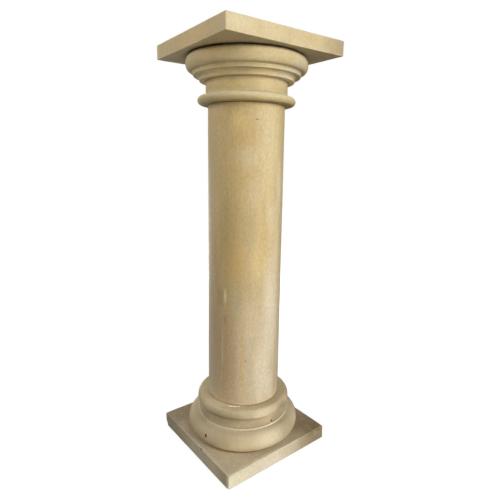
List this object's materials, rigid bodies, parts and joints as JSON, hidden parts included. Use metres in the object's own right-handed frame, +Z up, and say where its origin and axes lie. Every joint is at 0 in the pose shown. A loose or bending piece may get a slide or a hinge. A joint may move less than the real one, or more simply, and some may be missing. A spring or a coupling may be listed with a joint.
{
  "type": "doric column pedestal",
  "caption": "Free-standing doric column pedestal in yellow stone: square plinth, moulded base, plain round shaft, moulded capital and square abacus.",
  "frame": {"origin": "centre of the plinth's underside, on the column's axis", "axes": "+Z up along the column's axis; X and Y square to the plinth's sides"},
  "size_m": [0.3276, 0.3276, 1],
  "materials": {
    "plinth_stone": "rubbed matt sandstone, arrises softened by wear",
    "base_stone": "turned matt sandstone with a few small pits",
    "shaft_stone": "honed, ochre-veined stone with a soft sheen",
    "capital_stone": "turned matt sandstone",
    "abacus_stone": "rubbed matt sandstone, arrises softened by wear"
  },
  "bodies": {
    "root": {"plinth": "plinth_stone", "base": "base_stone", "shaft": "shaft_stone", "capital": "capital_stone", "abacus": "abacus_stone"}
  },
  "joints": []
}
